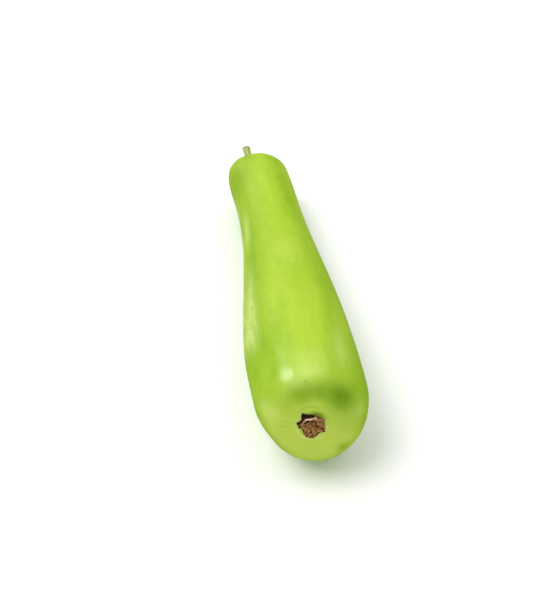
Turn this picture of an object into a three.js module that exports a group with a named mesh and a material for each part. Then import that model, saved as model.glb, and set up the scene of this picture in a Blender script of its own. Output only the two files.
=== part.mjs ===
// Long bottle gourd (Lagenaria siceraria), picked with a short stem and lying on a table.
//
// Units are millimetres, +Z is up and the table is z = 0. The gourd lies along X, with its stem end
// towards -X and its blossom end towards +X.
//
// The fruit is turned on a straight axis, and one rule then moves each point of it: swells, shoulder
// lobes and grooves change its distance from the axis, and the axis itself bends, with each section
// square to it. The blossom scar follows the same rule, so it fits the pit that it sits in. "along"
// is the distance from the stem pole, "across" is the distance from the axis, and angles run from
// sideways (+Y) towards up (+Z).

import * as THREE from 'three';
import { mergeVertices } from 'three/addons/utils/BufferGeometryUtils.js';

// Fruit: length, mean radius of neck and belly, and where the taper between them starts and ends.
const LENGTH = 380;
const NECK_RADIUS = 31.5;
const BELLY_RADIUS = 47;
const TAPER_START = 52;
const TAPER_END = 329;

// The two rounded ends. Reach is how far the rounding runs along the fruit; a higher power is flatter.
const STEM_CAP = { reach: 20, power: 2.4 };
const BLOSSOM_CAP = { reach: 47.5, power: 2.55 };

// Dimples in the two ends: the cavity that the stem grows from, and the pit of the blossom scar.
const CAVITY = { depth: 4, radius: 12 };
const PIT = { depth: 2.5, radius: 13 };

// The axis bows sideways, most at mid length, and it curls up towards the blossom end.
const BOW = 6.4;
const CURL_RISE = 19;
const CURL_START = 200;

// The blossom end sags below its scar, and a little to the side.
const SAG = { along: 345, length: 45, down: 9.2, side: 3.6 };

// Swells (+) and flats (-) of the skin: place, angle in degrees, length, arc in degrees and height.
const SWELLS = [
  { name: 'left cheek', along: 352, angle: 228, length: 40, arc: 40, height: -7.6 },
  { name: 'chin', along: 350, angle: 280, length: 42, arc: 50, height: 5.3 },
  { name: 'right cheek', along: 355, angle: 340, length: 40, arc: 42, height: -2.6 },
];

// The shoulder has a soft ring, five uneven lobes, and a groove between each two of them.
const SHOULDER = { along: 30, length: 27, height: 0.5 };
const LOBE = { along: 15, length: 24, arc: 34 };
const LOBES = [
  { angle: 20, height: -0.7 },
  { angle: 82, height: -0.8 },
  { angle: 143, height: 3.7 },
  { angle: 220, height: 1.2 },
  { angle: 300, height: 1.5 },
];
const GROOVE = { length: 22, arc: 14, depth: 0.9 };
const GROOVES = [52, 113, 182, 262, 342];

// Stem: it leaves the cavity along the axis and turns towards its lean angle on a steady curve. On the
// way it drifts sideways, most at first and not at all at the tip. Its foot flares out, and the flare
// shrinks by a factor e in each fade length.
const STEM_LENGTH = 38;
const STEM_RADIUS = 3.8;
const STEM_FOOT_RADIUS = 6.8;
const STEM_FOOT_FADE = 3;
const STEM_TIP_SWELL = 0.5;
const STEM_TURN = THREE.MathUtils.degToRad(20);
const STEM_LEAN = THREE.MathUtils.degToRad(90);
const STEM_DRIFT = -4.8;
const STEM_RIBS = { count: 5, height: 0.07, angle: THREE.MathUtils.degToRad(20) };
const STEM_CHAMFER = 0.6;

// Blossom scar: a thin corky scab with an uneven rim.
const SCAR_RADIUS = 10.8;
const SCAR_THICKNESS = 1.9;
const SCAR_RIM = 0.7;
const SCAR_EDGE = [
  { waves: 3, height: 0.04, angle: 0.4 },
  { waves: 7, height: 0.05, angle: 1.3 },
];

// Gap between a piece and the skin that it sits on.
const GAP = 0.3;

// Rest: the turn about Y that brings neck and belly to the table, and the height of the axis at mid
// length. The skin that would pass through the table is pressed flat, which leaves a bearing patch.
const REST_TILT = THREE.MathUtils.degToRad(-2.75);
const REST_HEIGHT = 39.7;

// Mesh density: sections around, and steps along the two caps and the body between them. The steps
// along the stem are closer together near its foot.
const FRUIT_SECTIONS = 48;
const STEM_CAP_STEPS = 10;
const BODY_STEPS = 30;
const BLOSSOM_CAP_STEPS = 14;
const STEM_SECTIONS = 30;
const STEM_STEPS = 12;
const STEM_STEP_GROWTH = 1.4;
const STEM_FOOT_STEPS = 4;
const SCAR_SECTIONS = 28;
const SCAR_STEPS = 4;

// Vertices closer than this are one vertex.
const MERGE_TOLERANCE = 1e-4;

const SKIN = new THREE.MeshStandardMaterial({ color: 0xa9cf43, roughness: 0.42, metalness: 0 });
const STEM_BARK = new THREE.MeshStandardMaterial({ color: 0x93a94c, roughness: 0.7, metalness: 0 });
const CORK = new THREE.MeshStandardMaterial({ color: 0x8a6240, roughness: 0.9, metalness: 0 });

// Bell curve: 1 at no distance, and nearly 0 at twice the width.
function bell(distance, width) {
  return Math.exp(-((distance / width) ** 2));
}

// Angle between two directions in degrees, from -180 to 180.
function turnBetween(first, second) {
  return THREE.MathUtils.euclideanModulo(first - second + 180, 360) - 180;
}

// Mean radius of the fruit between its caps.
function bodyRadius(along) {
  const taper = THREE.MathUtils.smootherstep(along, TAPER_START, TAPER_END);
  const shoulder = SHOULDER.height * bell(along - SHOULDER.along, SHOULDER.length);
  return THREE.MathUtils.lerp(NECK_RADIUS, BELLY_RADIUS, taper) + shoulder;
}

// Height of the skin above the mean radius.
function swellAt(along, angle) {
  const degrees = THREE.MathUtils.radToDeg(angle);
  const sag = SAG.side * Math.cos(angle) - SAG.down * Math.sin(angle);
  let height = sag * bell(along - SAG.along, SAG.length);
  for (const swell of SWELLS) {
    const fade = bell(along - swell.along, swell.length);
    height += swell.height * fade * bell(turnBetween(degrees, swell.angle), swell.arc);
  }
  for (const lobe of LOBES) {
    const fade = bell(along - LOBE.along, LOBE.length);
    height += lobe.height * fade * bell(turnBetween(degrees, lobe.angle), LOBE.arc);
  }
  for (const groove of GROOVES) {
    const fade = bell(along, GROOVE.length);
    height -= GROOVE.depth * fade * bell(turnBetween(degrees, groove), GROOVE.arc);
  }
  return height;
}

// A point of the bent axis, with the direction of the axis there and two directions square to it.
function axisAt(along) {
  const share = along / LENGTH;
  const curl = Math.max(along - CURL_START, 0) / (LENGTH - CURL_START);
  const point = new THREE.Vector3(
    along - LENGTH / 2,
    4 * BOW * share * (1 - share),
    CURL_RISE * curl ** 2,
  );
  const sideSlope = (4 * BOW * (1 - 2 * share)) / LENGTH;
  const upSlope = (2 * CURL_RISE * curl) / (LENGTH - CURL_START);
  const forward = new THREE.Vector3(1, sideSlope, upSlope).normalize();
  const sideways = new THREE.Vector3(-sideSlope, 1, 0).normalize();
  const upward = new THREE.Vector3().crossVectors(forward, sideways);
  return { point, forward, sideways, upward };
}

// The rule that shapes the fruit: from a point of the straight body to its place in the gourd.
function place(along, across, angle) {
  const radius = across * (1 + swellAt(along, angle) / bodyRadius(along));
  const { point, sideways, upward } = axisAt(along);
  return point
    .addScaledVector(sideways, radius * Math.cos(angle))
    .addScaledVector(upward, radius * Math.sin(angle));
}

// Depth of a cap below its pole, where it has the given share of the body's radius.
function capDepth(cap, share) {
  return cap.reach * (1 - (1 - share ** cap.power) ** (1 / cap.power));
}

// Depth of a dimple at a distance across from its middle.
function dimpleDepth(dimple, across) {
  const share = Math.min(across / dimple.radius, 1);
  return dimple.depth * (1 - share ** 2) ** 2;
}

// Depth of the skin below the pole, near either end of the fruit.
function endDepth(cap, dimple, across, poleAlong) {
  return capDepth(cap, across / bodyRadius(poleAlong)) + dimpleDepth(dimple, across);
}

// Radius shares from the pole to the edge of a cap, closer together near the edge.
function capShares(steps) {
  return Array.from({ length: steps + 1 }, (_, i) => Math.sin((i / steps) * (Math.PI / 2)));
}

// Turns a profile of (across, height) points into a closed mesh, and moves each vertex with the rule
// toPoint(height, across, angle).
function turned(profile, sections, toPoint) {
  const lathe = new THREE.LatheGeometry(profile, sections);
  lathe.deleteAttribute('normal');
  lathe.deleteAttribute('uv');
  const geometry = mergeVertices(lathe, MERGE_TOLERANCE);
  const position = geometry.getAttribute('position');
  for (let i = 0; i < position.count; i += 1) {
    const across = Math.hypot(position.getX(i), position.getZ(i));
    const angle = Math.atan2(position.getZ(i), -position.getX(i));
    const point = toPoint(position.getY(i), across, angle);
    position.setXYZ(i, point.x, point.y, point.z);
  }
  geometry.computeVertexNormals();
  return geometry;
}

// The profile runs from the stem pole to the blossom pole.
function fruitProfile() {
  const points = [];
  for (const share of capShares(STEM_CAP_STEPS)) {
    const depth = capDepth(STEM_CAP, share);
    const across = share * bodyRadius(depth);
    points.push(new THREE.Vector2(across, depth + dimpleDepth(CAVITY, across)));
  }
  const bodyLength = LENGTH - STEM_CAP.reach - BLOSSOM_CAP.reach;
  for (let i = 1; i < BODY_STEPS; i += 1) {
    const along = STEM_CAP.reach + (bodyLength * i) / BODY_STEPS;
    points.push(new THREE.Vector2(bodyRadius(along), along));
  }
  for (const share of capShares(BLOSSOM_CAP_STEPS).reverse()) {
    const depth = capDepth(BLOSSOM_CAP, share);
    const across = share * bodyRadius(LENGTH - depth);
    points.push(new THREE.Vector2(across, LENGTH - depth - dimpleDepth(PIT, across)));
  }
  return points;
}

// Turn and lift from the fruit's own axis to its place on the table.
const restPose = new THREE.Matrix4().makeRotationY(REST_TILT).setPosition(0, 0, REST_HEIGHT);

function makeFruit() {
  const toAxis = restPose.clone().invert();
  const settle = (along, across, angle) => {
    const point = place(along, across, angle).applyMatrix4(restPose);
    point.z = Math.max(point.z, 0);
    return point.applyMatrix4(toAxis);
  };
  return turned(fruitProfile(), FRUIT_SECTIONS, settle);
}

// A disc that follows the pit's floor below, and is thickest in the middle.
function makeBlossomScar() {
  const ring = Array.from({ length: SCAR_STEPS + 1 }, (_, i) => (SCAR_RADIUS * i) / SCAR_STEPS);
  const thickness = (across) => {
    const dome = 1 - (across / SCAR_RADIUS) ** 2;
    return SCAR_RIM + (SCAR_THICKNESS - SCAR_RIM) * dome;
  };
  const floor = ring.map((across) => new THREE.Vector2(across, 0));
  const crust = ring.map((across) => new THREE.Vector2(across, thickness(across))).reverse();
  const seat = (height, across, angle) => {
    let edge = 1;
    for (const wave of SCAR_EDGE) {
      edge += wave.height * Math.cos(wave.waves * (angle - wave.angle));
    }
    const reach = across * edge;
    const along = LENGTH - endDepth(BLOSSOM_CAP, PIT, reach, LENGTH) + GAP + height;
    return place(along, reach, angle);
  };
  return turned([...floor, ...crust], SCAR_SECTIONS, seat);
}

// The stem's radius: a foot that flares into the cavity, and a slightly thickened cut end.
function stemRadius(height) {
  const foot = (STEM_FOOT_RADIUS - STEM_RADIUS) * Math.exp(-height / STEM_FOOT_FADE);
  return STEM_RADIUS + foot + STEM_TIP_SWELL * (height / STEM_LENGTH) ** 4;
}

function makeStem() {
  const points = [];
  for (let i = 0; i <= STEM_FOOT_STEPS; i += 1) {
    const across = (STEM_FOOT_RADIUS * i) / STEM_FOOT_STEPS;
    points.push(new THREE.Vector2(across, GAP - endDepth(STEM_CAP, CAVITY, across, 0)));
  }
  for (let i = 0; i <= STEM_STEPS; i += 1) {
    const height = (STEM_LENGTH - STEM_CHAMFER) * (i / STEM_STEPS) ** STEM_STEP_GROWTH;
    points.push(new THREE.Vector2(stemRadius(height), height));
  }
  points.push(new THREE.Vector2(stemRadius(STEM_LENGTH) - STEM_CHAMFER, STEM_LENGTH));
  points.push(new THREE.Vector2(0, STEM_LENGTH));

  const { point: pole, forward, sideways, upward } = axisAt(0);
  const outward = forward.clone().negate();
  const lean = sideways
    .clone()
    .multiplyScalar(Math.cos(STEM_LEAN))
    .addScaledVector(upward, Math.sin(STEM_LEAN));
  const beside = new THREE.Vector3().crossVectors(forward, lean);
  const curveRadius = STEM_LENGTH / STEM_TURN;
  const grow = (height, across, angle) => {
    const turn = Math.max(height, 0) / curveRadius;
    const share = Math.max(height, 0) / STEM_LENGTH;
    const straight = Math.min(height, 0);
    const rib = 1 + STEM_RIBS.height * Math.cos(STEM_RIBS.count * (angle - STEM_RIBS.angle));
    const towards = across * rib * Math.cos(angle - STEM_LEAN);
    const aside = across * rib * Math.sin(angle - STEM_LEAN);
    return pole
      .clone()
      .addScaledVector(outward, straight + curveRadius * Math.sin(turn) - towards * Math.sin(turn))
      .addScaledVector(lean, curveRadius * (1 - Math.cos(turn)) + towards * Math.cos(turn))
      .addScaledVector(beside, aside)
      .addScaledVector(sideways, STEM_DRIFT * share * (2 - share));
  };
  return turned(points.reverse(), STEM_SECTIONS, grow);
}

function namedMesh(name, geometry, material) {
  const mesh = new THREE.Mesh(geometry, material);
  mesh.name = name;
  return mesh;
}

// The three pieces on the fruit's own axis, turned and lifted to rest on the table.
const gourd = new THREE.Group();
gourd.add(namedMesh('fruit', makeFruit(), SKIN));
gourd.add(namedMesh('stem', makeStem(), STEM_BARK));
gourd.add(namedMesh('blossom_scar', makeBlossomScar(), CORK));
restPose.decompose(gourd.position, gourd.quaternion, gourd.scale);

// The origin is on the table, below the middle of the whole gourd.
const model = new THREE.Group();
model.add(gourd);
const middle = new THREE.Box3().setFromObject(model, true).getCenter(new THREE.Vector3());
gourd.position.x -= middle.x;
gourd.position.y -= middle.y;

export default model;
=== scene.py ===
"""A long bottle gourd lying on a pale studio floor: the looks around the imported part.

Blender's objects are in metres, in the part's frame: +Z up, the stem end towards -X, the blossom end
towards +X, and the floor at z = 0. The shape values are millimetres, as in the part, and they are turned
into metres when a mesh is made. Angles and arcs are degrees, unless math.radians turns them into radians.

A place on the fruit is given by:
  along   the distance from the stem pole, on the fruit's axis
  across  the distance from the axis
  angle   the turn from sideways (+Y) towards up (+Z)
  inward  the distance from the stem pole, along the skin
  out     the distance from the blossom pole, which is the scar's middle, along the skin

A spot has its middle at one such distance and an angle, and fades out over its length and arc.
A wave is a smooth random field with a wavelength, a seed of its own and sometimes a height.
"""
import math

import bpy
import numpy as np
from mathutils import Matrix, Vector


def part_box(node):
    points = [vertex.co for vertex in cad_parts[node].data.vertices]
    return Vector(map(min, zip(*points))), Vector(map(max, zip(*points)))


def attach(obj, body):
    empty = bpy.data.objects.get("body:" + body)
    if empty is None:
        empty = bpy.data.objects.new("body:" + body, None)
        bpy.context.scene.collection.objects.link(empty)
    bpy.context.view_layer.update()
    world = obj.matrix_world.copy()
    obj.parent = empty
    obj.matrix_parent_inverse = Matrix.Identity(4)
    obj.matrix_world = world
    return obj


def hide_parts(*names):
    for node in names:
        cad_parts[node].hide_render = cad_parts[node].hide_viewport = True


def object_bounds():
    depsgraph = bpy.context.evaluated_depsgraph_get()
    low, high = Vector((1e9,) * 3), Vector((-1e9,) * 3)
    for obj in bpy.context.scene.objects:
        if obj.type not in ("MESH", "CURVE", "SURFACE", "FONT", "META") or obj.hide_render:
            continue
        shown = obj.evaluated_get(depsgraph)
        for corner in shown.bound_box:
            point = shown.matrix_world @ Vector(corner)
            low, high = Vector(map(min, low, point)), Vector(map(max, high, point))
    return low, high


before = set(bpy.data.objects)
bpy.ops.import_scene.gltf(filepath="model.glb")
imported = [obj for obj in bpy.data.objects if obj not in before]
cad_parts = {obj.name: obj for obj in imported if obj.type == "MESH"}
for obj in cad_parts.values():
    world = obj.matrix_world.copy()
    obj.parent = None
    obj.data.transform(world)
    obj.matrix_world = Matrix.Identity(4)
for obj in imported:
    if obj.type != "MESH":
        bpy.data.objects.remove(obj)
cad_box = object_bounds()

MM = 0.001
SEED = 11

# ---------------------------------------------------------------- sizes that are the same as the part's

# The fruit.
LENGTH = 380.0
NECK_RADIUS = 31.5
BELLY_RADIUS = 47.0
TAPER_START = 52.0
TAPER_END = 329.0
STEM_CAP = {"reach": 20.0, "power": 2.4}
BLOSSOM_CAP = {"reach": 47.5, "power": 2.55}
CAVITY = {"depth": 4.0, "radius": 12.0}
PIT = {"depth": 2.5, "radius": 13.0}
BOW = 6.4
CURL_RISE = 19.0
CURL_START = 200.0
SAG = {"along": 345.0, "length": 45.0, "down": 9.2, "side": 3.6}
SWELLS = [
    {"along": 352, "angle": 228, "length": 40, "arc": 40, "height": -7.6},
    {"along": 350, "angle": 280, "length": 42, "arc": 50, "height": 5.3},
    {"along": 355, "angle": 340, "length": 40, "arc": 42, "height": -2.6},
]
SHOULDER = {"along": 30.0, "length": 27.0, "height": 0.5}
LOBE = {"along": 15.0, "length": 24.0, "arc": 34.0}
LOBES = [(20, -0.7), (82, -0.8), (143, 3.7), (220, 1.2), (300, 1.5)]
GROOVE = {"along": 0.0, "length": 22.0, "arc": 14.0, "depth": 0.9}
GROOVES = [52, 113, 182, 262, 342]
GAP = 0.3
REST_TILT = math.radians(-2.75)
REST_HEIGHT = 39.7

# The stem.
STEM_LENGTH = 38.0
STEM_RADIUS = 3.8
STEM_FOOT_RADIUS = 6.8
STEM_FOOT_FADE = 3.0
STEM_TIP_SWELL = 0.5
STEM_TURN = math.radians(20)
STEM_LEAN = 90.0
STEM_DRIFT = -4.8
STEM_RIBS = {"count": 5, "height": 0.07, "angle": 20.0}
STEM_CHAMFER = 0.6

# The blossom scar. The waves of its edge are given as count, height and turn.
SCAR_RADIUS = 10.8
SCAR_THICKNESS = 1.9
SCAR_RIM = 0.7
SCAR_EDGE = [(3, 0.04, math.degrees(0.4)), (7, 0.05, math.degrees(1.3))]

# ---------------------------------------------------------------- mesh density

# Sections go round a piece and rows go along it. The stem's rows are closer together near its foot.
FRUIT_SECTIONS = 224
FRUIT_STEM_ROWS = 50
FRUIT_BODY_ROWS = 220
FRUIT_BLOSSOM_ROWS = 90
STEM_SECTIONS = 120
STEM_FOOT_ROWS = 7
STEM_ROWS = 90
STEM_ROW_POWER = 1.4
STEM_EDGE_ROWS = 6
STEM_FACE_ROWS = 15
SCAR_SECTIONS = 200
SCAR_ROWS = 46
SCAR_BACK_ROWS = 9

# ---------------------------------------------------------------- the skin's fine relief

# A ripple is a sum of this many plane waves, whose lengths lie in this range of the wavelength asked for.
RIPPLE_WAVES = 12
RIPPLE_RANGE = (0.7, 1.5)

# The relief sets in over this distance from the axis. Its waves, each with a height, are drawn out along the
# body, and its dents are where their wave is above a value.
RELIEF_FADE = (1, 6)
SKIN_STRETCH = (0.22, 1, 1)
SKIN_WAVES = [(0.22, {"wavelength": 24, "seed": 1}), (0.10, {"wavelength": 9, "seed": 2})]
DENTS = {"depth": 0.30, "above": 0.55, "wave": {"wavelength": 46, "seed": 3}}

# Round the scar: puckers, creases and a short line on the left. A sway bends them.
PUCKERS = {
    "out": 13.5, "length": 3.6, "depth": 0.05, "count": 19,
    "sway": {"wavelength": 16, "seed": 4, "height": 0.16},
    "gaps": {"wavelength": 9, "seed": 5}, "gap_edges": (-1, 0.6),
}
CREASES = [
    {"out": 18.2, "angle": 92, "length": 0.9, "arc": 34, "depth": 0.28,
     "sway": {"wavelength": 12, "seed": 6, "height": 0.8}},
    {"out": 21.6, "angle": 100, "length": 0.8, "arc": 22, "depth": 0.20,
     "sway": {"wavelength": 14, "seed": 7, "height": 0.9}},
]
SIDE_LINE = {"out": 19, "angle": 171, "length": 5.5, "arc": 2.2, "depth": 0.22}

# ---------------------------------------------------------------- the skin's markings

# Deeper green on the body: painted shade on the left of the shoulder and down the right side near the stem
# end, and darker lengthwise streaks further along.
DEEP_AND_SHADE_PATCHES = [
    {"along": 44, "angle": 146, "length": 26, "arc": 26, "amount": 0.38},
    {"along": 105, "angle": 47, "length": 62, "arc": 11, "amount": 0.12},
    {"along": 190, "angle": 139, "length": 120, "arc": 9, "amount": 0.35},
    {"along": 315, "angle": 158, "length": 40, "arc": 12, "amount": 0.08},
]

# Deeper green on the blossom end, mostly painted shade: on the band where the top turns into the end, along
# the creases and wrinkle lines, and the painted shadow of the pit's rim on the skin above and right of the
# scar. The rest are darker patches and a small dark mark.
END_SHADE_AND_DEEP_PATCHES = [
    {"out": 31, "angle": 106, "length": 9, "arc": 17, "amount": 0.32},
    {"out": 33, "angle": 40, "length": 11, "arc": 19, "amount": 0.9},
    {"out": 32.3, "angle": 78, "length": 10.5, "arc": 54, "amount": 0.7},
    {"out": 35, "angle": 311, "length": 6, "arc": 8, "amount": 0.5},
    {"out": 28, "angle": 6, "length": 12, "arc": 28, "amount": 0.17},
    {"out": 23, "angle": 150, "length": 10, "arc": 34, "amount": 0.13},
    {"out": 20, "angle": 172, "length": 6, "arc": 2.6, "amount": 0.18},
    {"out": 22, "angle": 184, "length": 5, "arc": 2.4, "amount": 0.14},
    {"out": 17.6, "angle": 96, "length": 1.0, "arc": 36, "amount": 0.3},
    {"out": 11.6, "angle": 58, "length": 2.6, "arc": 40, "amount": 0.95},
    {"out": 41, "angle": 95, "length": 0.9, "arc": 1.5, "amount": 1.0},
]

# Painted shade in the grooves at the stem end, which widens and fades away from the stem, and how far the
# painted shade right round the stem reaches.
GROOVE_SHADE = {"width": 5, "widening": 0.12, "fade": (10, 62), "amount": 0.75}
NECK_SHADE_LENGTH = 16

# Painted light: lighter green on the top, down the right side and beside the highlight near the blossom end.
# A patch of infinite length runs the whole body.
PAINTED_LIGHT_PATCHES = [
    {"along": 0, "angle": 94, "length": math.inf, "arc": 35, "amount": 1.0},
    {"along": 0, "angle": 40, "length": math.inf, "arc": 18, "amount": 0.62},
    {"along": 330, "angle": 141, "length": 32, "arc": 15, "amount": 0.5},
    {"along": 328, "angle": 114, "length": 30, "arc": 15, "amount": 0.8},
]
PALE_NECK = {"fade": (30, 90), "amount": 0.3}
PAINTED_LIGHT_BASE = 0.10
PAINTED_LIGHT_GAIN = 0.80

# Where the wax is smoothest.
POLISH = {"along": 354, "angle": 116, "length": 25, "arc": 24}

# Painted reflection of the pale floor, as a dull pale band down the left side. It sets in over the start and
# ends over the end given below, both along the body.
RIM_SHEEN_PATCHES = [
    {"along": 88, "angle": 189, "length": 55, "arc": 17, "amount": 0.85},
    {"along": 165, "angle": 177, "length": 60, "arc": 14, "amount": 0.85},
    {"along": 238, "angle": 176, "length": 46, "arc": 15, "amount": 1.0},
    {"along": 250, "angle": 147, "length": 46, "arc": 9, "amount": 0.75},
    {"along": 286, "angle": 157, "length": 30, "arc": 12, "amount": 0.8},
]
RIM_SHEEN_START = (20, 72)
RIM_SHEEN_END = (288, 316)
RIM_SHEEN_SWAY = {"wavelength": 30, "seed": 10, "height": 5}

# Painted sheen: patches paler than the skin around them, mostly round the highlight near the blossom end, and
# some along the top and the sides.
SHEEN_PATCHES = [
    {"along": 359, "angle": 92, "length": 9, "arc": 24, "amount": 0.36},
    {"along": 345, "angle": 90, "length": 14, "arc": 22, "amount": 0.2},
    {"along": 326, "angle": 50, "length": 24, "arc": 9, "amount": 0.32},
    {"along": 130, "angle": 150, "length": 26, "arc": 9, "amount": 0.45},
    {"along": 195, "angle": 90, "length": 24, "arc": 18, "amount": 0.12},
    {"along": 366, "angle": 4, "length": 7, "arc": 8, "amount": 0.22},
    {"along": 366, "angle": 168, "length": 10, "arc": 14, "amount": 0.3},
]

# The pale blossom end, which the darker green and painted shade there keep back.
PALE_END = {"fade": (30, 50), "kept_back": 0.8, "sway": {"wavelength": 30, "seed": 8, "height": 3}}

# The cream ring round the scar. It is weaker at these angles: angle, arc and how much is taken away.
HALO = {"out": 11.0, "length": 1.8, "amount": 0.45, "wave": {"wavelength": 8, "seed": 9, "height": 0.55}}
HALO_GAPS = [(90, 50, 0.5), (48, 30, 1.0)]

# ---------------------------------------------------------------- the stem's finer form and its markings

# Fibres and a waist below the cut, as shares of the radius. The fibres end at the cut.
STEM_FIBRES = {"depth": 0.018, "stretch": (0.12, 1, 1), "wave": {"wavelength": 1.3, "seed": 20}}
STEM_FIBRE_END = (STEM_LENGTH - 2.2, STEM_LENGTH - 0.2)
STEM_WAIST = {"height": 33.5, "length": 2.2, "depth": 0.025, "wave": {"wavelength": 5, "seed": 21}}

# The cut end: how far it is hollowed, where its face starts, its pith, and its dark rim.
STEM_FACE_HOLLOW = {"depth": 0.9, "power": 1.5}
STEM_FACE_START = (STEM_LENGTH - 1.4, STEM_LENGTH - 0.5)
STEM_PITH = (0.9, 2.6)
STEM_DARK_RIM = {"height": STEM_LENGTH - 0.5, "length": 0.7, "across": (2.6, 3.8)}

# Heights over which the stem dries to straw, and over which its greener foot ends.
STEM_DRY = (20, STEM_LENGTH)
STEM_GREEN_FOOT = (0, 9)

# ---------------------------------------------------------------- the scar's torn surface

# Shares are of the scar's radius. Torn points of the rim are given as angle, arc and reach, a share.
SCAR_POINTS = [
    (192, 8, 0.10), (167, 9, 0.22), (146, 9, 0.03), (121, 13, 0.38), (96, 13, 0.24), (62, 13, 0.13),
    (22, 13, 0.08), (352, 11, 0.13), (328, 8, 0.16), (290, 12, -0.02), (252, 13, 0.12), (220, 13, -0.10),
]

# The rim is notched all round and ragged, more on its torn side. This sets in over the outer shares.
SCAR_TORN_FROM = 0.6
SCAR_TORN_SIDE = {"angle": 125, "arc": 62}
SCAR_RAGS = [(1.0, {"wavelength": 3.2, "seed": 30}), (0.6, {"wavelength": 1.4, "seed": 31})]
SCAR_NOTCH = {"depth": 0.10, "ragged": 0.06, "most": 0.12, "anywhere": 0.4, "torn_side": 0.7}

# Waves of the crust, and the wander that bends its rim, crevice and gully.
SCAR_LUMPS = {"wavelength": 2.6, "seed": 32}
SCAR_GRAIN = {"wavelength": 0.9, "seed": 33}
SCAR_WANDER = {"wavelength": 3.4, "seed": 35, "height": 0.05}
SCAR_SPOKES = {"count": 11, "fade": (0.1, 0.4), "sway": {"wavelength": 5, "seed": 34, "height": 2.6}}

# The rim's share, which is smaller where the black edge is broad. The ledge's share is counted from it.
SCAR_RIM_AT = {"share": 0.90, "drop": 0.15, "angle": 114, "arc": 58, "wander": 0.5}
SCAR_LEDGE = {"share": -0.15, "angle": 100, "length": 0.11, "arc": 44}
SCAR_LEDGE_GAPS = {"wavelength": 3.0, "seed": 37}
SCAR_LEDGE_GAP_EDGES = (-1.3, 0.2)
SCAR_LEDGE_TONE = 1.5

# The crevice's share grows with the angle, counted from the angle given here.
SCAR_CREVICE_AT = {"angle": 60, "growth": 0.0024, "wander": 0.5}
SCAR_CREVICE = {"share": 0.28, "angle": 106, "length": 0.10, "arc": 50}
SCAR_GULLY = {"share": 0.36, "angle": 20, "length": 0.05, "arc": 60}
SCAR_GULLY_WANDER = 1.6
# A gap at the edge, painted black as its shade.
SCAR_SHADED_EDGE_GAP = {"share": 0.86, "angle": 306, "length": 0.07, "arc": 24}
SCAR_LIP = {
    "share": 0.9, "length": 0.07, "anywhere": 0.4, "torn_side": 0.6,
    "gaps": {"wavelength": 2.1, "seed": 36}, "gap_edges": (-0.6, 0.5),
}

# What each form adds to the crust's height, in millimetres, and to its tone, from dark to tan.
SCAR_RELIEF = {
    "lumps": 0.24, "grain": 0.10, "spokes": 0.16, "even": -0.25,
    "lip": 0.55, "ledge": 0.3, "crevice": -1.0, "gully": -0.6,
}
# The gully's dark tone is painted shade in its hollow.
SCAR_TONE = {"even": 0.48, "lumps": 0.34, "spokes": 0.24, "grain": 0.2, "gully": -1.0}

# The crust is never thinner than this, and drops by a share towards its edge.
SCAR_LEAST_HEIGHT = 0.25
SCAR_EDGE_DROP = 0.75
SCAR_EDGE_DROP_FROM = 0.94

# Black places: the black edge, with char and painted shade from the pit's rim, the tips as angle and arc, the
# crevice, whose black is painted shade, and how blotchy the black is.
SCAR_CHARRED_AND_SHADED_EDGE = {"edges": (-0.06, 0.02), "angle": 130, "arc": 82, "amount": 1.4}
SCAR_CHARRED_AND_SHADED_EDGE_SWAY = {"wavelength": 2.0, "seed": 39, "height": 0.04}
SCAR_TIPS = [(326, 9), (268, 15), (186, 18)]
SCAR_TIP_EDGES = (0.84, 0.93)
SCAR_CREVICE_SHADE = 1.6
SCAR_BLACK_LEVEL = 0.75
SCAR_BLACK_BLOTCHES = {"wavelength": 1.8, "seed": 38, "height": 0.4}

# ---------------------------------------------------------------- materials

# The deep green is for darker skin and for painted shade; the pale whitish green is painted reflection and
# painted sheen.
SKIN_COLOURS = {
    "light": (0.385, 0.555, 0.032, 1),
    "mid": (0.245, 0.432, 0.004, 1),
    "deep": (0.110, 0.240, 0.000, 1),
    "pale": (0.455, 0.560, 0.080, 1),
    "fleck": (0.50, 0.66, 0.10, 1),
    "painted_sheen": (0.60, 0.72, 0.23, 1),
    "cream": (0.640, 0.600, 0.280, 1),
}
STEM_COLOURS = {
    "ridge": (0.46, 0.54, 0.13, 1),
    "hollow": (0.23, 0.31, 0.045, 1),
    "straw": (0.42, 0.37, 0.17, 1),
    "foot": (0.30, 0.48, 0.05, 1),
    "cut": (0.27, 0.31, 0.11, 1),
    "pith": (0.46, 0.50, 0.22, 1),
    "char": (0.075, 0.065, 0.020, 1),
}
SCAR_COLOURS = {
    "dark": (0.065, 0.026, 0.007, 1),
    "brown": (0.220, 0.104, 0.028, 1),
    "tan": (0.450, 0.265, 0.100, 1),
    "pink": (0.800, 0.560, 0.400, 1),
    "black": (0.018, 0.009, 0.003, 1),
}

# What is the same all over a surface.
SKIN_SURFACE = {
    "Subsurface Weight": 0.12,
    "Subsurface Radius": (0.6, 1.0, 0.12),
    "Subsurface Scale": 0.003,
    "Specular IOR Level": 0.12,
}
SCAR_SURFACE = {"Specular IOR Level": 0.04}
FLOOR_SURFACE = {"Base Color": (0.93, 0.93, 0.925, 1), "Roughness": 0.65, "Specular IOR Level": 0.2}

# How strongly each field of a mesh shows in its material.
COVER = {
    "pale": 0.75, "neck_shade": 0.35, "halo": 0.9, "polish": 0.385,
    "rib": 0.55, "dry": 0.55, "foot": 0.7, "rim": 0.85, "height": 0.75,
}

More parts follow.
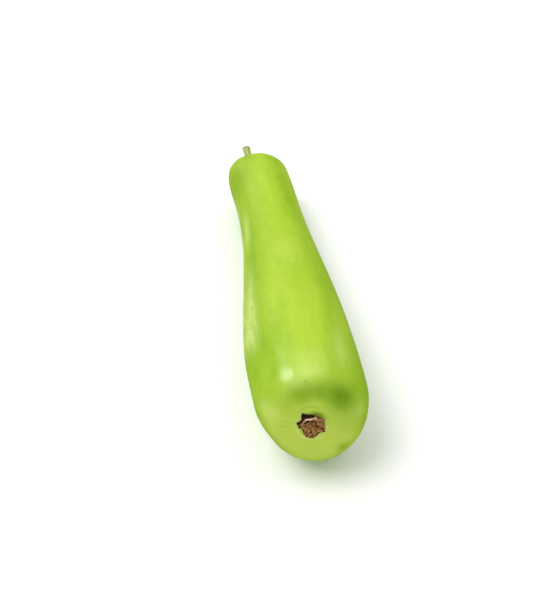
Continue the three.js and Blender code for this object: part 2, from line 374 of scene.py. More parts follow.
# Noises: how many features fit in a metre, each way, and the noise's detail and roughness. A pattern also
# has the part of the noise that it uses, and the values that this part gives.
MOTTLE = {"stretch": (420, 620, 620), "detail": 3, "roughness": 0.6}
MOTTLE_FLECKS = {"low": 0.56, "high": 0.74, "to_low": 0.0, "to_high": 0.22}
STREAKS = {"stretch": (7, 48, 48), "detail": 2, "used": (0.3, 0.7), "gives": (-0.2, 0.2)}
CLOUDS = {"stretch": (12, 26, 26), "detail": 2, "used": (0.3, 0.7), "gives": (-0.15, 0.15)}
DAPPLES = {
    "stretch": (95, 170, 170), "detail": 3, "roughness": 0.6, "used": (0.3, 0.7), "gives": (-0.13, 0.13),
}
FINE_GRAIN = {"stretch": (900, 1500, 1500), "detail": 2, "used": (0.3, 0.7), "gives": (0.0, 0.06)}
UNEVEN_SHADE = {"stretch": (45, 90, 90), "detail": 3, "used": (0.25, 0.75), "gives": (0.85, 1.1)}
UNEVEN_SHEEN = {
    "stretch": (80, 200, 200), "detail": 4, "roughness": 0.6, "used": (0.35, 0.65), "gives": (0.45, 1.0),
}
SKIN_ROUGHNESS = {
    "stretch": (60, 140, 140), "detail": 3, "roughness": 0.6, "used": (0.3, 0.7), "gives": (0.54, 0.62),
}
STEM_GRAIN = {"stretch": (60, 900, 900), "detail": 4, "roughness": 0.6, "used": (0.3, 0.7)}
STEM_STRAW = {"stretch": (120, 420, 420), "detail": 4, "roughness": 0.65, "used": (0.45, 0.7)}
PITH_RINGS = {"stretch": (500, 1500, 1500), "detail": 3, "used": (0.35, 0.65)}
CORK_GRAIN = {"stretch": (900, 900, 900), "detail": 4, "roughness": 0.65, "used": (0.3, 0.7)}
STEM_GRAIN_SHARE = 0.45
CORK_GRAIN_SHARE = 0.25

# Roughness where the grain is low and high, and the bump's distance in metres and strength.
STEM_ROUGHNESS = {"low": 0, "high": 1, "to_low": 0.55, "to_high": 0.75}
SCAR_ROUGHNESS = {"low": 0, "high": 1, "to_low": 0.7, "to_high": 0.95}
SKIN_BUMP = {"distance": 0.00010, "strength": 0.4}
STEM_BUMP = {"distance": 0.0002, "strength": 0.7}
SCAR_BUMP = {"distance": 0.0003, "strength": 0.8}

# Over which tones the cork turns from dark to brown and from brown to tan, and over which char to black.
CORK_BROWN = (0.12, 0.5)
CORK_TAN = (0.5, 0.9)
CORK_BLACK = (0.2, 0.6)

# ---------------------------------------------------------------- the studio's values

FLOOR_SIZE = 14.0
CAMERA = {"azimuth": -7.285, "elevation": 43.572, "distance": 0.80684, "lens": 54.0}
CAMERA_AIM = Vector((0.04089, -0.00856, -0.00796))

# Lamps: width is how many degrees of the sky each covers.
KEY = {"azimuth": -140, "elevation": 33, "width": 22.0, "strength": 2.2}
FILL = {"azimuth": -100, "elevation": 58, "width": 44.0, "strength": 1.55}
FRONT = {"azimuth": 10, "elevation": 8, "width": 60.0, "strength": 1.85}
LAMP_DISTANCE = 2

# The world's brightness: it rises from the horizon upwards, is dimmed towards one side, and glows on the
# left. An edge is the height, or the cosine to the side's middle, over which the change takes place.
SKY_COLOUR = (1.0, 1.0, 0.99, 1)
SKY_EDGE = (0.08, 0.5)
SKY_BRIGHTNESS = (0.12, 1.35)
DARK_SIDE = {"azimuth": -4, "elevation": 44}
DARK_SIDE_EDGE = (0.45, 0.92)
DARK_SIDE_BRIGHTNESS = (1.0, 0.06)
LEFT_GLOW = {"azimuth": -145, "elevation": -20}
LEFT_GLOW_EDGE = (0.9, 0.995)
LEFT_GLOW_BRIGHTNESS = (0.0, 0.17)


# ---------------------------------------------------------------- curves and fields

def bell(distance, width):
    """1 at no distance, and nearly 0 at twice the width."""
    return np.exp(-((distance / width) ** 2))


def turn_between(first, second):
    """The angle between two directions in degrees, from -180 to 180."""
    return (first - second + 180) % 360 - 180


def side_bell(angle, middle, arc):
    """1 at the middle angle, and nearly 0 at twice the arc from it."""
    return bell(turn_between(angle, middle), arc)


def near(spot, distance, angle, key="along"):
    """1 in the middle of a spot, and nearly 0 at twice its length or arc."""
    return bell(distance - spot[key], spot["length"]) * side_bell(angle, spot["angle"], spot["arc"])


def step(value, low, high):
    """0 at low and 1 at high, with a smooth rise between them."""
    share = np.clip((value - low) / (high - low), 0, 1)
    return share * share * (3 - 2 * share)


def ripple(points, wavelength, seed, height=1.0):
    """A smooth random field over points, mostly from -height to height."""
    rng = np.random.default_rng(SEED + seed)
    directions = rng.normal(size=(RIPPLE_WAVES, 3))
    directions /= np.linalg.norm(directions, axis=1, keepdims=True)
    directions *= 2 * math.pi / (wavelength * rng.uniform(*RIPPLE_RANGE, size=(RIPPLE_WAVES, 1)))
    phases = rng.uniform(0, 2 * math.pi, size=RIPPLE_WAVES)
    total = sum(np.cos(points @ direction + phase) for direction, phase in zip(directions, phases))
    return height * (total / math.sqrt(2 * RIPPLE_WAVES))


def patches(spots, distance, angle, key="along"):
    """How far a point is covered by spots, where each covers a share of what the others leave."""
    total = np.zeros_like(distance)
    for spot in spots:
        cover = np.minimum(spot["amount"] * near(spot, distance, angle, key), 1)
        total = 1 - (1 - total) * (1 - cover)
    return total


def mixed(weights, forms):
    """The sum of forms, each times its weight."""
    return sum(weight * forms[name] for name, weight in weights.items())


# ---------------------------------------------------------------- the fruit's shape

def body_radius(along):
    share = np.clip((along - TAPER_START) / (TAPER_END - TAPER_START), 0, 1)
    taper = share**3 * (share * (6 * share - 15) + 10)
    shoulder = SHOULDER["height"] * bell(along - SHOULDER["along"], SHOULDER["length"])
    return NECK_RADIUS + (BELLY_RADIUS - NECK_RADIUS) * taper + shoulder


def swell_at(along, angle):
    """Height of the skin above the mean radius."""
    radians = np.radians(angle)
    sag = SAG["side"] * np.cos(radians) - SAG["down"] * np.sin(radians)
    height = sag * bell(along - SAG["along"], SAG["length"])
    for swell in SWELLS:
        height += swell["height"] * near(swell, along, angle)
    for lobe, rise in LOBES:
        height += rise * near({**LOBE, "angle": lobe}, along, angle)
    for groove in GROOVES:
        height -= GROOVE["depth"] * near({**GROOVE, "angle": groove}, along, angle)
    return height


def unit(vectors):
    return vectors / np.linalg.norm(vectors, axis=-1, keepdims=True)


def axis_at(along):
    """Points of the bent axis, its direction there, and the two directions square to it."""
    along = np.asarray(along, float)
    share = along / LENGTH
    curl = np.maximum(along - CURL_START, 0) / (LENGTH - CURL_START)
    point = np.stack([along - LENGTH / 2, 4 * BOW * share * (1 - share), CURL_RISE * curl**2], -1)
    side_slope = 4 * BOW * (1 - 2 * share) / LENGTH
    up_slope = 2 * CURL_RISE * curl / (LENGTH - CURL_START)
    ones, zeros = np.ones_like(share), np.zeros_like(share)
    forward = unit(np.stack([ones, side_slope, up_slope], -1))
    sideways = unit(np.stack([-side_slope, ones, zeros], -1))
    return point, forward, sideways, np.cross(forward, sideways)


def place(along, across, angle):
    """The rule that shapes the fruit: from a point of the straight body to its place in the gourd."""
    radius = across * (1 + swell_at(along, angle) / body_radius(along))
    point, _, sideways, upward = axis_at(along)
    radians = np.radians(angle)
    return (point + (radius * np.cos(radians))[..., None] * sideways
            + (radius * np.sin(radians))[..., None] * upward)


def cap_depth(cap, share):
    return cap["reach"] * (1 - np.maximum(1 - share ** cap["power"], 0) ** (1 / cap["power"]))


def dimple_depth(dimple, across):
    share = np.minimum(across / dimple["radius"], 1)
    return dimple["depth"] * (1 - share**2) ** 2


def end_depth(cap, dimple, across, pole):
    return cap_depth(cap, across / body_radius(pole)) + dimple_depth(dimple, across)


def fruit_profile():
    """(along, across) of the fruit's outline from the stem pole to the blossom pole."""
    share = np.sin(np.linspace(0, math.pi / 2, FRUIT_STEM_ROWS + 1))
    depth = cap_depth(STEM_CAP, share)
    across = share * body_radius(depth)
    stem_end = np.stack([depth + dimple_depth(CAVITY, across), across], -1)

    along = np.linspace(STEM_CAP["reach"], LENGTH - BLOSSOM_CAP["reach"], FRUIT_BODY_ROWS + 1)[1:-1]
    middle = np.stack([along, body_radius(along)], -1)

    share = np.sin(np.linspace(math.pi / 2, 0, FRUIT_BLOSSOM_ROWS + 1))
    depth = cap_depth(BLOSSOM_CAP, share)
    across = share * body_radius(LENGTH - depth)
    blossom_end = np.stack([LENGTH - depth - dimple_depth(PIT, across), across], -1)
    return np.concatenate([stem_end, middle, blossom_end])


def to_rest(points):
    """From the fruit's own axis to its place on the table, before it is centred."""
    x, y, z = points[..., 0], points[..., 1], points[..., 2]
    cosine, sine = math.cos(REST_TILT), math.sin(REST_TILT)
    return np.stack([x * cosine + z * sine, y, z * cosine - x * sine + REST_HEIGHT], -1)


# ---------------------------------------------------------------- meshes

def on_grid(rows, sections):
    """Each column of row values, and then the angle, over a grid whose rows are rings."""
    shape = (len(rows), sections)
    columns = [np.broadcast_to(column[:, None], shape) for column in rows.T]
    return *columns, np.broadcast_to(np.arange(sections) * 360 / sections, shape)


def straight_points(along, across, angle):
    """Points of a straight piece, which its patterns follow."""
    radians = np.radians(angle)
    return np.stack([along, across * np.cos(radians), across * np.sin(radians)], -1)


def outward_normals(grid):
    """Unit normals of a grid of points whose rows are closed rings."""
    around = np.roll(grid, -1, 1) - np.roll(grid, 1, 1)
    down = np.gradient(grid, axis=0)
    normals = np.cross(around, down)
    normals /= np.maximum(np.linalg.norm(normals, axis=-1, keepdims=True), 1e-12)
    if (normals * (grid - grid.mean((0, 1)))).sum() < 0:
        normals = -normals
    return normals


def closed_mesh(name, grid, fields):
    """A closed mesh from rings of points, in millimetres, whose first and last ring are poles.

    fields maps a name to one number, or one vector, for each point of the grid, for the materials.
    """
    rows, columns = grid.shape[:2]
    inner = grid[1:-1].reshape(-1, 3)
    points = np.concatenate([grid[:1, 0], inner, grid[-1:, 0]]) * MM
    ring = np.arange(columns)
    after = (ring + 1) % columns
    start = 1 + columns * np.arange(rows - 3)[:, None]
    quads = np.stack([start + ring, start + columns + ring, start + columns + after, start + after], -1)
    last = 1 + columns * (rows - 3)
    pole = len(points) - 1
    first_fan = [(0, int(a), int(b)) for a, b in zip(1 + ring, 1 + after)]
    last_fan = [(pole, int(b), int(a)) for a, b in zip(last + ring, last + after)]
    faces = first_fan + quads.reshape(-1, 4).tolist() + last_fan

    mesh = bpy.data.meshes.new(name)
    mesh.from_pydata(points.tolist(), [], faces)
    if signed_volume(mesh) < 0:
        mesh.flip_normals()
    mesh.shade_smooth()
    for field_name, values in fields.items():
        flat = np.asarray(values, np.float32).reshape(rows, columns, -1)
        flat = np.concatenate([flat[:1, 0], flat[1:-1].reshape(-1, flat.shape[-1]), flat[-1:, 0]])
        kind, slot = ("FLOAT", "value") if flat.shape[-1] == 1 else ("FLOAT_VECTOR", "vector")
        mesh.attributes.new(field_name, kind, "POINT").data.foreach_set(slot, flat.ravel())
    return new_object(name, mesh)


def signed_volume(mesh):
    """The mesh's volume, which is negative where its faces look inwards."""
    mesh.calc_loop_triangles()
    corners = np.zeros(len(mesh.loop_triangles) * 3, np.int32)
    mesh.loop_triangles.foreach_get("vertices", corners)
    points = np.zeros(len(mesh.vertices) * 3, np.float32)
    mesh.vertices.foreach_get("co", points)
    a, b, c = points.reshape(-1, 3)[corners.reshape(-1, 3)].transpose(1, 0, 2).astype(float)
    return (a * np.cross(b, c)).sum() / 6


def new_object(name, data):
    made = bpy.data.objects.new(name, data)
    bpy.context.scene.collection.objects.link(made)
    return made


# ---------------------------------------------------------------- the fruit

def skin_relief(straight, angle, out):
    """How deep the skin lies below its even surface, in millimetres."""
    lengthwise = straight * np.array(SKIN_STRETCH)
    relief = sum(height * (1 + ripple(lengthwise, **wave)) for height, wave in SKIN_WAVES)
    relief = relief + DENTS["depth"] * np.maximum(ripple(straight, **DENTS["wave"]) - DENTS["above"], 0)

    folds = np.cos(PUCKERS["count"] * (np.radians(angle) + ripple(straight, **PUCKERS["sway"])))
    gaps = step(ripple(straight, **PUCKERS["gaps"]), *PUCKERS["gap_edges"])
    relief = relief + PUCKERS["depth"] * bell(out - PUCKERS["out"], PUCKERS["length"]) * (1 + folds) * gaps
    for crease in CREASES:
        swayed = out - ripple(straight, **crease["sway"])
        relief = relief + crease["depth"] * near(crease, swayed, angle, "out")
    return relief + SIDE_LINE["depth"] * near(SIDE_LINE, out, angle, "out")


def skin_fields(straight, along, angle, inward, out):
    """How far each marking covers the skin, for its material."""
    # Darker skin and painted shade, on the body, at the blossom end and in the grooves.
    end_shade_and_deep = patches(END_SHADE_AND_DEEP_PATCHES, out, angle, "out")
    deep = np.maximum(patches(DEEP_AND_SHADE_PATCHES, along, angle), end_shade_and_deep)
    # Painted shade in the grooves at the stem end.
    width = GROOVE_SHADE["width"] + GROOVE_SHADE["widening"] * inward
    fade = 1 - step(inward, *GROOVE_SHADE["fade"])
    for groove in GROOVES:
        deep = np.maximum(deep, GROOVE_SHADE["amount"] * side_bell(angle, groove, width) * fade)

    # Painted light on the top, down the right side and beside the highlight, and paler green round the stem.
    painted_light_and_pale_neck = PALE_NECK["amount"] * (1 - step(inward, *PALE_NECK["fade"]))
    for patch in PAINTED_LIGHT_PATCHES:
        painted_light_and_pale_neck = np.maximum(painted_light_and_pale_neck, patch["amount"] * near(patch, along, angle))

    halo = bell(out - HALO["out"], HALO["length"]) * (HALO["amount"] + ripple(straight, **HALO["wave"]))
    for gap, arc, taken in HALO_GAPS:
        halo = halo * (1 - taken * side_bell(angle, gap, arc))

    # Painted reflection of the pale floor down the left side.
    rim_sheen_edge = along + ripple(straight, **RIM_SHEEN_SWAY)
    painted_sheen = patches(RIM_SHEEN_PATCHES, along, angle)
    painted_sheen = painted_sheen * step(rim_sheen_edge, *RIM_SHEEN_START) * (1 - step(rim_sheen_edge, *RIM_SHEEN_END))
    pale = 1 - step(out + ripple(straight, **PALE_END["sway"]), *PALE_END["fade"])
    return {
        "straight": straight * MM,
        "painted_light_and_pale_neck": PAINTED_LIGHT_BASE + PAINTED_LIGHT_GAIN * painted_light_and_pale_neck,
        "polish": near(POLISH, along, angle),
        "painted_sheen": painted_sheen,
        "deep": deep,
        # Painted sheen round the highlight and along the top and sides.
        "soft": patches(SHEEN_PATCHES, along, angle),
        "pale": pale * (1 - PALE_END["kept_back"] * end_shade_and_deep),
        "halo": np.clip(halo, 0, 1),
        # Painted shade round the stem.
        "neck_shade": bell(inward, NECK_SHADE_LENGTH),
    }


def make_fruit():
    """The fruit's grid of points, and the fields for its material."""
    profile = fruit_profile()
    lengths = np.linalg.norm(np.diff(profile, axis=0), axis=1)
    inward = np.r_[0, lengths.cumsum()]
    out = np.r_[lengths[::-1].cumsum()[::-1], 0]
    along, across, inward, out, angle = on_grid(np.column_stack([profile, inward, out]), FRUIT_SECTIONS)

    straight = straight_points(along, across, angle)
    grid = to_rest(place(along, across, angle))
    relief = step(across, *RELIEF_FADE) * skin_relief(straight, angle, out)
    grid = grid - outward_normals(grid) * relief[..., None]
    return grid, skin_fields(straight, along, angle, inward, out)


# ---------------------------------------------------------------- the stem

def stem_radius(height):
    foot = (STEM_FOOT_RADIUS - STEM_RADIUS) * np.exp(-height / STEM_FOOT_FADE)
    return STEM_RADIUS + foot + STEM_TIP_SWELL * (height / STEM_LENGTH) ** 4


def stem_profile():
    """(height, across) from the middle of the foot to the middle of the cut end."""
    foot = np.linspace(0, STEM_FOOT_RADIUS, STEM_FOOT_ROWS + 1)[:-1]
    foot = np.stack([GAP - end_depth(STEM_CAP, CAVITY, foot, 0.0), foot], -1)
    height = (STEM_LENGTH - STEM_CHAMFER) * np.linspace(0, 1, STEM_ROWS) ** STEM_ROW_POWER
    side = np.stack([height, stem_radius(height)], -1)
    turn = np.linspace(0, math.pi / 2, STEM_EDGE_ROWS + 1)[1:]
    edge = stem_radius(STEM_LENGTH) - STEM_CHAMFER
    rim = np.stack([STEM_LENGTH - STEM_CHAMFER * (1 - np.sin(turn)), edge + STEM_CHAMFER * np.cos(turn)], -1)
    share = np.linspace(1, 0, STEM_FACE_ROWS + 1)[1:]
    hollow = STEM_FACE_HOLLOW["depth"] * (1 - share**2) ** STEM_FACE_HOLLOW["power"]
    face = np.stack([STEM_LENGTH - hollow, edge * share], -1)
    return np.concatenate([foot, side, rim, face])


def bend_stem(height, across, angle):
    """From a point of the straight stem to its place on the bent one, on the fruit's own axis."""
    pole, forward, sideways, upward = axis_at(0.0)
    lean_radians = math.radians(STEM_LEAN)
    lean = sideways * math.cos(lean_radians) + upward * math.sin(lean_radians)
    beside = np.cross(forward, lean)
    curve_radius = STEM_LENGTH / STEM_TURN
    turn = np.maximum(height, 0) / curve_radius
    towards = across * np.cos(np.radians(angle - STEM_LEAN))
    aside = across * np.sin(np.radians(angle - STEM_LEAN))
    outward = np.minimum(height, 0) + curve_radius * np.sin(turn) - towards * np.sin(turn)
    sidestep = curve_radius * (1 - np.cos(turn)) + towards * np.cos(turn)
    share = np.maximum(height, 0) / STEM_LENGTH
    drift = STEM_DRIFT * share * (2 - share)
    return (pole - outward[..., None] * forward + sidestep[..., None] * lean
            + aside[..., None] * beside + drift[..., None] * sideways)


def make_stem():
    """The stem's grid of points, and the fields for its material."""
    height, across, angle = on_grid(stem_profile(), STEM_SECTIONS)
    straight = straight_points(height, across, angle)

    ribs = np.cos(STEM_RIBS["count"] * np.radians(angle - STEM_RIBS["angle"]))
    fibres = 1 + ripple(straight * np.array(STEM_FIBRES["stretch"]), **STEM_FIBRES["wave"])
    fibres = STEM_FIBRES["depth"] * fibres * (1 - step(height, *STEM_FIBRE_END))
    waist = STEM_WAIST["depth"] * bell(height - STEM_WAIST["height"], STEM_WAIST["length"])
    waist = waist * (1 + ripple(straight, **STEM_WAIST["wave"]))
    swell = 1 + STEM_RIBS["height"] * ribs - fibres - waist

    cut = step(height, *STEM_FACE_START)
    dark_rim = bell(height - STEM_DARK_RIM["height"], STEM_DARK_RIM["length"])
    fields = {
        "straight": straight * MM,
        "rib": 0.5 + 0.5 * ribs,
        "cut": cut,
        "pith": cut * (1 - step(across, *STEM_PITH)),
        "rim": dark_rim * step(across, *STEM_DARK_RIM["across"]),
        "dry": step(height, *STEM_DRY),
        "foot": 1 - step(height, *STEM_GREEN_FOOT),
    }
    return to_rest(bend_stem(height, across * swell, angle)), fields


# ---------------------------------------------------------------- the blossom scar

def scar_edge(angle):
    edge = np.ones_like(angle)
    for waves, height, turn in SCAR_EDGE:
        edge = edge + height * np.cos(np.radians(waves * (angle - turn)))
    return edge


def scar_reach(share, angle, ring, torn_side):
    """How far from the scar's middle a point lies: the rim is notched, ragged and torn into points."""
    rags = sum(amount * np.abs(ripple(ring, **wave)) for amount, wave in SCAR_RAGS)
    ragged = np.minimum(SCAR_NOTCH["ragged"] * rags, SCAR_NOTCH["most"])
    ragged = ragged * (SCAR_NOTCH["anywhere"] + SCAR_NOTCH["torn_side"] * torn_side)
    points = sum(length * side_bell(angle, turn, arc) for turn, arc, length in SCAR_POINTS)
    torn = (points - SCAR_NOTCH["depth"] - ragged) * step(share, SCAR_TORN_FROM, 1)
    return share * SCAR_RADIUS * scar_edge(angle) * (1 + torn)


def scar_rim_share(angle, wander):
    """The share of the radius where the crust ends and the black rim starts."""
    drop = SCAR_RIM_AT["drop"] * side_bell(angle, SCAR_RIM_AT["angle"], SCAR_RIM_AT["arc"])
    return SCAR_RIM_AT["share"] - drop + SCAR_RIM_AT["wander"] * wander


def scar_forms(share, angle, flat, ring, torn_side):
    """The forms of the crust, mostly from 0 or -1 to 1. They add up to its height and its tone."""
    wander = ripple(flat, **SCAR_WANDER)
    crevice_shift = SCAR_CREVICE_AT["growth"] * turn_between(angle, SCAR_CREVICE_AT["angle"])
    crevice_shift = crevice_shift + SCAR_CREVICE_AT["wander"] * wander
    spokes = np.cos(SCAR_SPOKES["count"] * np.radians(angle) + ripple(flat, **SCAR_SPOKES["sway"]))
    lip = bell(share - SCAR_LIP["share"], SCAR_LIP["length"])
    lip = lip * (SCAR_LIP["anywhere"] + SCAR_LIP["torn_side"] * torn_side)
    return {
        "even": 1.0,
        "lumps": ripple(flat, **SCAR_LUMPS),
        "grain": ripple(flat, **SCAR_GRAIN),
        "spokes": spokes * step(share, *SCAR_SPOKES["fade"]),
        "ledge": near(SCAR_LEDGE, share - scar_rim_share(angle, wander), angle, "share"),
        "crevice": near(SCAR_CREVICE, share - crevice_shift, angle, "share"),
        "gully": near(SCAR_GULLY, share - SCAR_GULLY_WANDER * wander, angle, "share"),
        "lip": lip * step(ripple(ring, **SCAR_LIP["gaps"]), *SCAR_LIP["gap_edges"]),
    }


def scar_char_and_shade(share, angle, flat, ring, crevice):
    """How black the scar is: its upper rim, with char and painted shade from the pit's rim, its edge by the
    tips, and painted shade in the crevice and in a gap at the edge.
    """
    past_rim = share - scar_rim_share(angle, ripple(flat, **SCAR_WANDER)) - ripple(flat, **SCAR_CHARRED_AND_SHADED_EDGE_SWAY)
    charred_and_shaded_edge = step(past_rim, *SCAR_CHARRED_AND_SHADED_EDGE["edges"]) * side_bell(angle, SCAR_CHARRED_AND_SHADED_EDGE["angle"], SCAR_CHARRED_AND_SHADED_EDGE["arc"])
    tips = np.maximum.reduce([side_bell(angle, tip, arc) for tip, arc in SCAR_TIPS])
    char = np.maximum.reduce([
        SCAR_CHARRED_AND_SHADED_EDGE["amount"] * charred_and_shaded_edge,
        step(share, *SCAR_TIP_EDGES) * tips,
        SCAR_CREVICE_SHADE * crevice,
        near(SCAR_SHADED_EDGE_GAP, share, angle, "share"),
    ])
    return char * (SCAR_BLACK_LEVEL + ripple(ring, **SCAR_BLACK_BLOTCHES))


def make_scar():
    """A torn corky scab: a ragged rim, black with char and painted shade, a pale ledge inside it, and radial
    ridges in the middle.
    """
    share = np.r_[np.linspace(0, 1, SCAR_ROWS), np.linspace(1, 0, SCAR_BACK_ROWS + 1)[1:]]
    is_top = np.r_[np.ones(SCAR_ROWS), np.zeros(SCAR_BACK_ROWS)]
    share, is_top, angle = on_grid(np.column_stack([share, is_top]), SCAR_SECTIONS)
    flat = straight_points(0 * share, share, angle) * SCAR_RADIUS
    ring = straight_points(0 * share, np.ones_like(share), angle) * SCAR_RADIUS
    torn_side = side_bell(angle, SCAR_TORN_SIDE["angle"], SCAR_TORN_SIDE["arc"])

    forms = scar_forms(share, angle, flat, ring, torn_side)
    dome = SCAR_RIM + (SCAR_THICKNESS - SCAR_RIM) * (1 - share**2)
    crust = np.maximum(dome + mixed(SCAR_RELIEF, forms), SCAR_LEAST_HEIGHT)
    crust = crust * (1 - SCAR_EDGE_DROP * step(share, SCAR_EDGE_DROP_FROM, 1))
    reach = scar_reach(share, angle, ring, torn_side)
    along = LENGTH - end_depth(BLOSSOM_CAP, PIT, reach, LENGTH) + GAP + is_top * crust

    ledge_gaps = step(ripple(flat, **SCAR_LEDGE_GAPS), *SCAR_LEDGE_GAP_EDGES)
    fields = {
        "straight": flat * MM,
        "height": np.clip(mixed(SCAR_TONE, forms), 0, 1),
        "ledge": np.clip(SCAR_LEDGE_TONE * forms["ledge"] * ledge_gaps, 0, 1),
        "char": np.clip(scar_char_and_shade(share, angle, flat, ring, forms["crevice"]), 0, 1),
    }
    return to_rest(place(along, reach, angle)), fields


# ---------------------------------------------------------------- shader nodes

def add(owner, kind, inputs=None, **settings):
    """A new shader node in a material or world. An input that is a socket is linked, and any other is set."""
    made = owner.node_tree.nodes.new(kind)
    for name, value in settings.items():
        setattr(made, name, value)
    for name, value in (inputs or {}).items():
        if isinstance(value, bpy.types.NodeSocket):
            link(owner, value, made.inputs[name])
        else:
            made.inputs[name].default_value = value
    return made


def link(owner, output, socket):
    owner.node_tree.links.new(output, socket)


def blend(material, factor, first, second):
    """Two colours mixed by a factor."""
    return add(material, "ShaderNodeMix", {0: factor, 6: first, 7: second}, data_type="RGBA").outputs[2]


def maths(owner, operation, first, second, clamp=False):
    made = add(owner, "ShaderNodeMath", {0: first, 1: second}, operation=operation, use_clamp=clamp)
    return made.outputs[0]


def spread(owner, value, low, high, to_low=0.0, to_high=1.0):
    """to_low where the value is low, to_high where it is high, and a smooth change between them."""
    inputs = {"Value": value, "From Min": low, "From Max": high, "To Min": to_low, "To Max": to_high}
    return add(owner, "ShaderNodeMapRange", inputs, interpolation_type="SMOOTHSTEP").outputs[0]


def field(material, name, output="Fac"):
    return add(material, "ShaderNodeAttribute", attribute_name=name).outputs[output]


def marking(material, name):
    """A field of the mesh, as strongly as it shows."""
    return maths(material, "MULTIPLY", field(material, name), COVER[name])


def noise(material, stretch, detail, roughness=0.5):
    """Noise over the straight piece."""
    place_on = field(material, "straight", "Vector")
    scaled = add(material, "ShaderNodeVectorMath", {0: place_on, 1: stretch}, operation="MULTIPLY").outputs[0]
    inputs = {"Vector": scaled, "Scale": 1.0, "Detail": detail, "Roughness": roughness}
    return add(material, "ShaderNodeTexNoise", inputs).outputs[0]


def pattern(material, stretch, detail, used, gives=(0.0, 1.0), roughness=0.5):
    return spread(material, noise(material, stretch, detail, roughness), *used, *gives)


def new_material(name, settings=None):
    material = bpy.data.materials.new(name)
    material.use_nodes = True
    surface = material.node_tree.nodes["Principled BSDF"]
    for socket, value in (settings or {}).items():
        surface.inputs[socket].default_value = value
    return material, surface


def bumped(material, height, distance, strength):
    inputs = {"Height": height, "Distance": distance, "Strength": strength}
    return add(material, "ShaderNodeBump", inputs).outputs[0]


# ---------------------------------------------------------------- materials

def skin_material():
    material, surface = new_material("gourd_skin", SKIN_SURFACE)
    colours = SKIN_COLOURS

    tone = maths(material, "ADD", pattern(material, **STREAKS), pattern(material, **CLOUDS))
    tone = maths(material, "ADD", tone, pattern(material, **DAPPLES))
    # The tone rises with the painted light on the top and the right side, and round the stem.
    tone = maths(material, "ADD", tone, field(material, "painted_light_and_pale_neck"), clamp=True)
    colour = blend(material, tone, colours["mid"], colours["light"])

    mottle = noise(material, **MOTTLE)
    colour = blend(material, spread(material, mottle, **MOTTLE_FLECKS), colour, colours["fleck"])
    colour = blend(material, pattern(material, **FINE_GRAIN), colour, colours["deep"])
    colour = blend(material, marking(material, "pale"), colour, colours["pale"])
    uneven = pattern(material, **UNEVEN_SHADE)
    # Darker skin and painted shade, unevenly.
    shade = maths(material, "MULTIPLY", field(material, "deep"), uneven, clamp=True)
    colour = blend(material, shade, colour, colours["deep"])
    # Painted shade round the stem.
    colour = blend(material, marking(material, "neck_shade"), colour, colours["deep"])
    colour = blend(material, marking(material, "halo"), colour, colours["cream"])
    # Painted reflection down the left side, and painted sheen round the highlight, top and sides.
    painted_sheen = maths(material, "MULTIPLY", field(material, "painted_sheen"), pattern(material, **UNEVEN_SHEEN))
    painted_sheen = maths(material, "MAXIMUM", painted_sheen, field(material, "soft"))
    colour = blend(material, painted_sheen, colour, colours["painted_sheen"])

    roughness = maths(material, "SUBTRACT", pattern(material, **SKIN_ROUGHNESS), marking(material, "polish"))
    link(material, colour, surface.inputs["Base Color"])
    link(material, roughness, surface.inputs["Roughness"])
    link(material, bumped(material, mottle, **SKIN_BUMP), surface.inputs["Normal"])
    return material


def stem_material():
    material, surface = new_material("stem_bark")
    colours = STEM_COLOURS
    grain = pattern(material, **STEM_GRAIN)
    grain_share = maths(material, "MULTIPLY", grain, STEM_GRAIN_SHARE)
    tone = maths(material, "ADD", marking(material, "rib"), grain_share)
    colour = blend(material, tone, colours["hollow"], colours["ridge"])
    straw = maths(material, "MULTIPLY", pattern(material, **STEM_STRAW), marking(material, "dry"))
    colour = blend(material, straw, colour, colours["straw"])
    colour = blend(material, marking(material, "foot"), colour, colours["foot"])
    colour = blend(material, field(material, "cut"), colour, colours["cut"])
    pith = maths(material, "MULTIPLY", field(material, "pith"), pattern(material, **PITH_RINGS))
    colour = blend(material, pith, colour, colours["pith"])
    colour = blend(material, marking(material, "rim"), colour, colours["char"])
    link(material, colour, surface.inputs["Base Color"])
    link(material, spread(material, grain, **STEM_ROUGHNESS), surface.inputs["Roughness"])
    link(material, bumped(material, grain, **STEM_BUMP), surface.inputs["Normal"])
    return material


def scar_material():
    material, surface = new_material("scar_cork", SCAR_SURFACE)
    colours = SCAR_COLOURS
    grain = pattern(material, **CORK_GRAIN)
    grain_share = maths(material, "MULTIPLY", grain, CORK_GRAIN_SHARE)
    tone = maths(material, "ADD", marking(material, "height"), grain_share)
    colour = blend(material, spread(material, tone, *CORK_BROWN), colours["dark"], colours["brown"])
    colour = blend(material, spread(material, tone, *CORK_TAN), colour, colours["tan"])
    colour = blend(material, field(material, "ledge"), colour, colours["pink"])
    # The cork is black with char, and with painted shade in the crevice, in a gap at the edge and under the
    # pit's rim.
    char_and_shade = spread(material, field(material, "char"), *CORK_BLACK)
    colour = blend(material, char_and_shade, colour, colours["black"])
    link(material, colour, surface.inputs["Base Color"])
    link(material, spread(material, grain, **SCAR_ROUGHNESS), surface.inputs["Roughness"])
    link(material, bumped(material, grain, **SCAR_BUMP), surface.inputs["Normal"])
    return material


# ---------------------------------------------------------------- the studio

def direction(azimuth, elevation):
    """A unit vector. Azimuth runs from +X towards +Y."""
    turn, rise = math.radians(azimuth), math.radians(elevation)
    return Vector((math.cos(rise) * math.cos(turn), math.cos(rise) * math.sin(turn), math.sin(rise)))


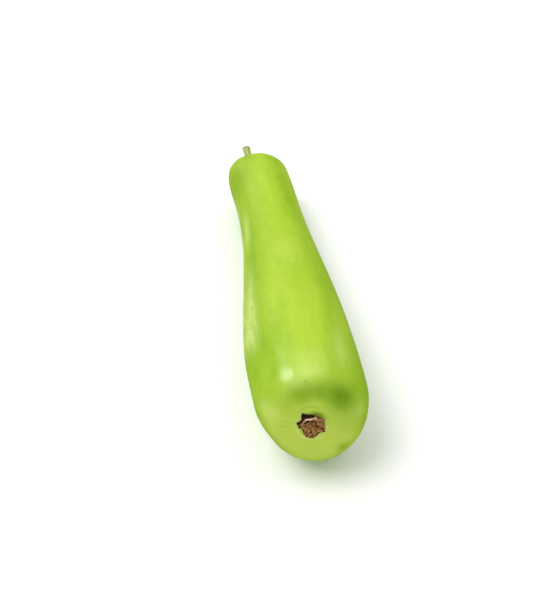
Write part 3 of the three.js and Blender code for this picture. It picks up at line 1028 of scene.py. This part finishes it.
def make_floor():
    """A pale floor, left out of reflections, where it would put a milky veil on the fruit's sides."""
    half = FLOOR_SIZE / 2
    corners = [(-half, -half, 0), (half, -half, 0), (half, half, 0), (-half, half, 0)]
    mesh = bpy.data.meshes.new("floor")
    mesh.from_pydata(corners, [], [(0, 1, 2, 3)])
    mesh.materials.append(new_material("pale_floor", FLOOR_SURFACE)[0])
    floor = new_object("floor", mesh)
    floor.visible_glossy = False


def make_lamp(name, lamp):
    """A soft lamp far away, which covers width degrees of the sky."""
    data = bpy.data.lights.new(name, "SUN")
    data.energy = lamp["strength"]
    data.angle = math.radians(lamp["width"])
    made = new_object(name, data)
    towards = direction(lamp["azimuth"], lamp["elevation"])
    made.rotation_euler = towards.to_track_quat("Z", "Y").to_euler()
    made.location = towards * LAMP_DISTANCE
    return made


def make_sky():
    """White walls all round, dimmer on the side that the blossom end faces, with a faint glow on the left.

    The camera sees plain white.
    """
    world = bpy.data.worlds.new("studio")
    world.use_nodes = True
    bpy.context.scene.world = world
    background = world.node_tree.nodes["Background"]
    coordinates = add(world, "ShaderNodeTexCoord").outputs["Generated"]

    def towards(side):
        """The cosine of the angle to a side's middle."""
        inputs = {0: coordinates, 1: tuple(direction(**side))}
        return add(world, "ShaderNodeVectorMath", inputs, operation="DOT_PRODUCT").outputs["Value"]

    height = add(world, "ShaderNodeSeparateXYZ", {0: coordinates}).outputs["Z"]
    overhead = spread(world, height, *SKY_EDGE, *SKY_BRIGHTNESS)
    lit_side = spread(world, towards(DARK_SIDE), *DARK_SIDE_EDGE, *DARK_SIDE_BRIGHTNESS)
    left_glow = spread(world, towards(LEFT_GLOW), *LEFT_GLOW_EDGE, *LEFT_GLOW_BRIGHTNESS)
    walls = maths(world, "ADD", maths(world, "MULTIPLY", overhead, lit_side), left_glow)
    seen = add(world, "ShaderNodeLightPath").outputs["Is Camera Ray"]
    link(world, maths(world, "MAXIMUM", walls, seen), background.inputs["Strength"])
    background.inputs["Color"].default_value = SKY_COLOUR


def make_camera():
    low, high = cad_box
    data = bpy.data.cameras.new("camera")
    data.lens = CAMERA["lens"]
    camera = new_object("camera", data)
    back = direction(CAMERA["azimuth"], CAMERA["elevation"])
    camera.location = (low + high) / 2 + CAMERA_AIM + back * CAMERA["distance"]
    camera.rotation_euler = back.to_track_quat("Z", "Y").to_euler()
    bpy.context.scene.camera = camera


# ---------------------------------------------------------------- the whole scene

def centring(fruit_grid):
    """The shift from the fruit's own axis to the part's frame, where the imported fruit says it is."""
    low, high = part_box("fruit")
    shift = np.zeros(3)
    shift[0] = high.x / MM - fruit_grid[..., 0].max()
    shift[1] = (high.y + low.y) / 2 / MM - (fruit_grid[..., 1].max() + fruit_grid[..., 1].min()) / 2
    return shift


def make_piece(name, node, grid, fields, material):
    """A piece that stands for one CAD node. It is kept inside the CAD box."""
    low, high = (np.array(corner) / MM for corner in cad_box)
    piece = closed_mesh(name, np.clip(grid, low, high), fields)
    piece.data.materials.append(material)
    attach(piece, "root")
    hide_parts(node)


fruit_grid, fruit_fields = make_fruit()
shift = centring(fruit_grid)
stem_grid, stem_fields = make_stem()
scar_grid, scar_fields = make_scar()
make_piece("fruit_skin", "fruit", fruit_grid + shift, fruit_fields, skin_material())
make_piece("stem_stalk", "stem", stem_grid + shift, stem_fields, stem_material())
make_piece("scar_crust", "blossom_scar", scar_grid + shift, scar_fields, scar_material())

make_floor()
make_lamp("key", KEY).visible_diffuse = False  # The key gives only the highlights.
make_lamp("fill", FILL)
make_lamp("front", FRONT)
make_sky()
make_camera()
bpy.context.scene.view_settings.view_transform = "Standard"
